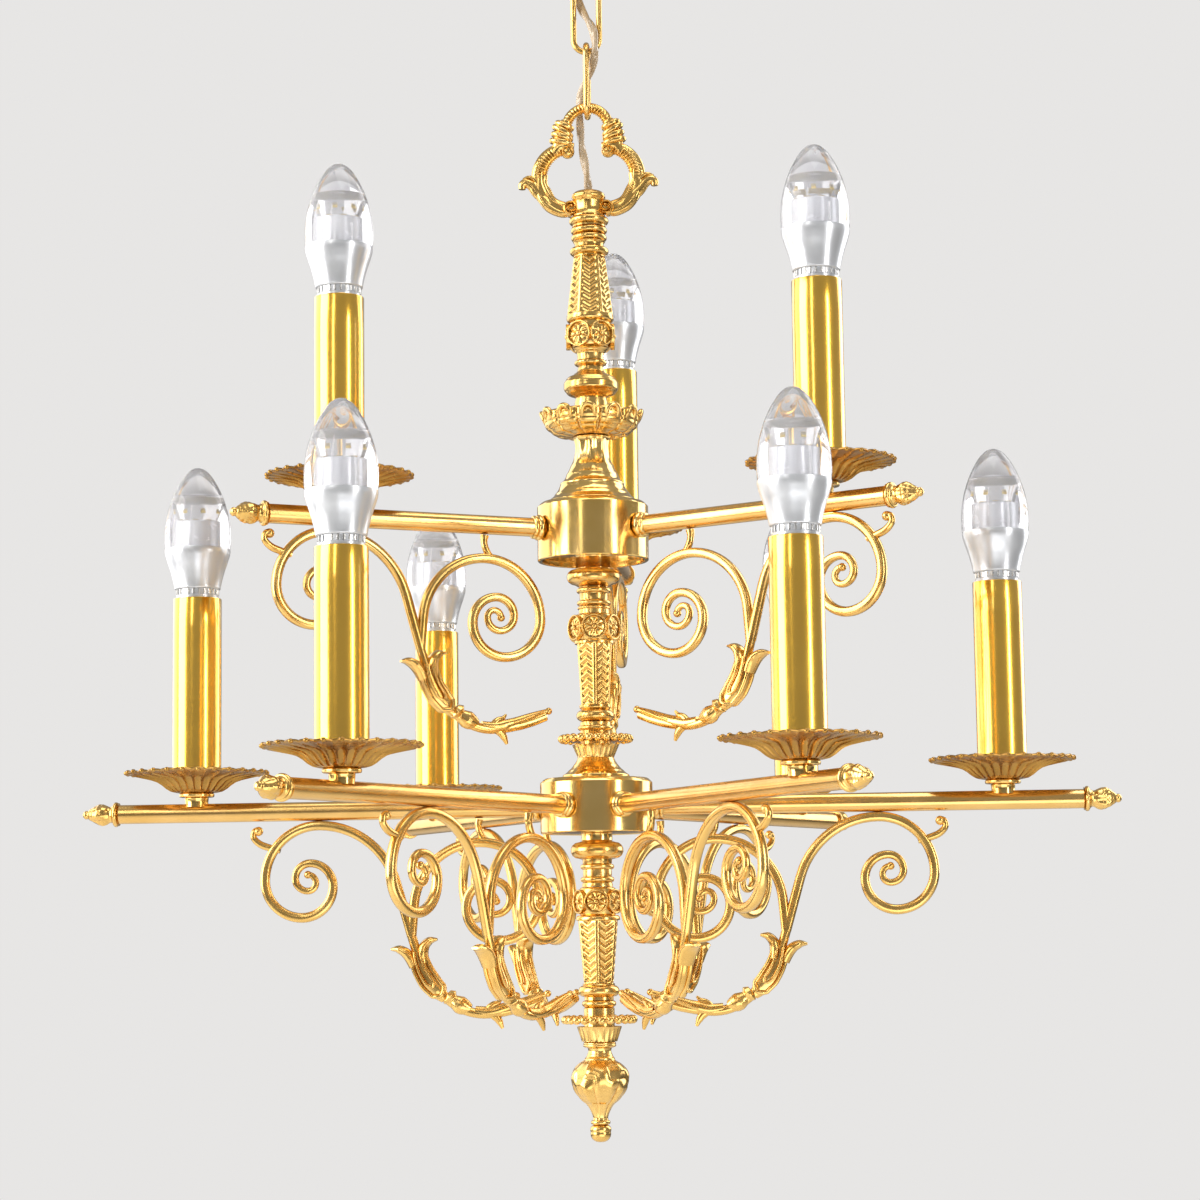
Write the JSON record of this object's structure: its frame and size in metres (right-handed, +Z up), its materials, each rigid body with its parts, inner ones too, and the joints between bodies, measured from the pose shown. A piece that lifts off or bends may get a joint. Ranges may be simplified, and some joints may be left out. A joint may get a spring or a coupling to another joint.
{
  "type": "multi arm chandelier",
  "caption": "Two-tier brass chandelier with straight tube arms, scroll brackets and candle lights, hung on a short chain from a ceiling canopy.",
  "frame": {"origin": "middle of the bracket face that lies on the ceiling", "axes": "+Z up out of that face into the ceiling, +X along lower arm 1 and along the bracket's two screw holes"},
  "size_m": [0.574, 0.4978, 0.76],
  "materials": {
    "brass_polished": "polished, lacquered",
    "brass_cast": "cast and lightly antiqued",
    "brass_satin": "satin, lengthwise brushed",
    "brass_pan": "matte, spun",
    "bulb": "clear grey-tinted glass over a glossy white base",
    "holder_plastic": "moulded white",
    "inner_steel": "zinc plated",
    "copper_wire": "insulated wires",
    "cable_sheath": "gold-tinted translucent sheath"
  },
  "bodies": {
    "ceiling_fitting": {"ceiling_canopy": "brass_polished", "ceiling_bracket": "inner_steel", "canopy_hook": "brass_cast", "hook_nut": "brass_polished", "cable_grip": "holder_plastic", "terminal_block": "holder_plastic", "supply_cable": "cable_sheath"},
    "upper_link": {"chain_link_3": "brass_cast"},
    "middle_link": {"chain_link_2": "brass_cast"},
    "lower_link": {"chain_link_1": "brass_cast"},
    "lamp": {"hanging_loop": "brass_cast", "upper_ferrule": "brass_cast", "upper_baluster": "brass_cast", "petal_cup": "brass_cast", "bell_neck": "brass_polished", "upper_hub": "brass_polished", "upper_hub_cover": "brass_polished", "middle_knop": "brass_cast", "middle_baluster": "brass_cast", "middle_bead_cup": "brass_cast", "lower_bell": "brass_polished", "lower_hub": "brass_polished", "lower_hub_cover": "brass_polished", "lower_knop": "brass_cast", "lower_baluster": "brass_cast", "lower_bead_cup": "brass_cast", "finial": "brass_cast", "centre_rod": "inner_steel", "locknuts": "inner_steel", "hub_connectors": "holder_plastic", "wiring": "copper_wire", "arm_collars": "brass_polished", "arm_finials": "brass_polished", "candle_bosses": "brass_pan", "candle_stems": "inner_steel", "drip_pans": "brass_pan", "candle_sleeves": "brass_satin", "lampholders": "holder_plastic", "lower_scrolls": "brass_cast", "upper_scrolls": "brass_cast", "lower_arm_1": "brass_satin", "lower_arm_2": "brass_satin", "lower_arm_3": "brass_satin", "lower_arm_4": "brass_satin", "lower_arm_5": "brass_satin", "lower_arm_6": "brass_satin", "upper_arm_1": "brass_satin", "upper_arm_2": "brass_satin", "upper_arm_3": "brass_satin"},
    "bulb_1": {"bulb_1": "bulb"},
    "bulb_2": {"bulb_2": "bulb"},
    "bulb_3": {"bulb_3": "bulb"},
    "bulb_4": {"bulb_4": "bulb"},
    "bulb_5": {"bulb_5": "bulb"},
    "bulb_6": {"bulb_6": "bulb"},
    "bulb_7": {"bulb_7": "bulb"},
    "bulb_8": {"bulb_8": "bulb"},
    "bulb_9": {"bulb_9": "bulb"}
  },
  "joints": [
    {"name": "upper_link_swing", "type": "hinge", "parent": "ceiling_fitting", "child": "upper_link", "pos_m": [0, 0, -0.073], "axis": [1, 0, 0], "range_deg": [-20, 20], "deforming": ["supply_cable"]},
    {"name": "middle_link_swing", "type": "hinge", "parent": "upper_link", "child": "middle_link", "pos_m": [0, 0, -0.1106], "axis": [0, 1, 0], "range_deg": [-20, 20]},
    {"name": "lower_link_swing", "type": "hinge", "parent": "middle_link", "child": "lower_link", "pos_m": [0, 0, -0.1485], "axis": [1, 0, 0], "range_deg": [-20, 20]},
    {"name": "lamp_swing", "type": "hinge", "parent": "lower_link", "child": "lamp", "pos_m": [0, 0, -0.1864], "axis": [0, 1, 0], "range_deg": [-20, 20]},
    {"name": "bulb_1_unscrew", "type": "slide", "parent": "lamp", "child": "bulb_1", "axis": [0, 0, 1], "range_m": [0, 0.03]},
    {"name": "bulb_2_unscrew", "type": "slide", "parent": "lamp", "child": "bulb_2", "axis": [0, 0, 1], "range_m": [0, 0.03]},
    {"name": "bulb_3_unscrew", "type": "slide", "parent": "lamp", "child": "bulb_3", "axis": [0, 0, 1], "range_m": [0, 0.03]},
    {"name": "bulb_4_unscrew", "type": "slide", "parent": "lamp", "child": "bulb_4", "axis": [0, 0, 1], "range_m": [0, 0.03]},
    {"name": "bulb_5_unscrew", "type": "slide", "parent": "lamp", "child": "bulb_5", "axis": [0, 0, 1], "range_m": [0, 0.03]},
    {"name": "bulb_6_unscrew", "type": "slide", "parent": "lamp", "child": "bulb_6", "axis": [0, 0, 1], "range_m": [0, 0.03]},
    {"name": "bulb_7_unscrew", "type": "slide", "parent": "lamp", "child": "bulb_7", "axis": [0, 0, 1], "range_m": [0, 0.03]},
    {"name": "bulb_8_unscrew", "type": "slide", "parent": "lamp", "child": "bulb_8", "axis": [0, 0, 1], "range_m": [0, 0.03]},
    {"name": "bulb_9_unscrew", "type": "slide", "parent": "lamp", "child": "bulb_9", "axis": [0, 0, 1], "range_m": [0, 0.03]}
  ]
}
